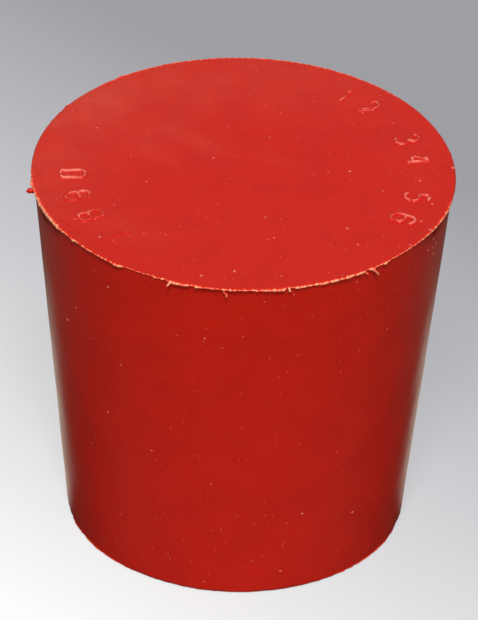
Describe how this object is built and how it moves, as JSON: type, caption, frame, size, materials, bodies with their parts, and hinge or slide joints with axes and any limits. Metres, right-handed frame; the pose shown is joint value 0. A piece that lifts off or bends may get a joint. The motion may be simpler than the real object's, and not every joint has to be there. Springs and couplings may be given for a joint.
{
  "type": "rubber stopper",
  "caption": "Solid tapered rubber stopper that plugs the neck of a flask, tube or bottle, with flat ends and thin moulding flash round its large end.",
  "frame": {"origin": "centre of the small end's face, which it stands on", "axes": "+Z along the axis from the small end to the large end; X and Y are any two directions across, because the plug is round"},
  "size_m": [0.0321, 0.0322, 0.03],
  "materials": {
    "red_rubber": "satin"
  },
  "bodies": {
    "root": {"stopper": "red_rubber"}
  },
  "joints": []
}
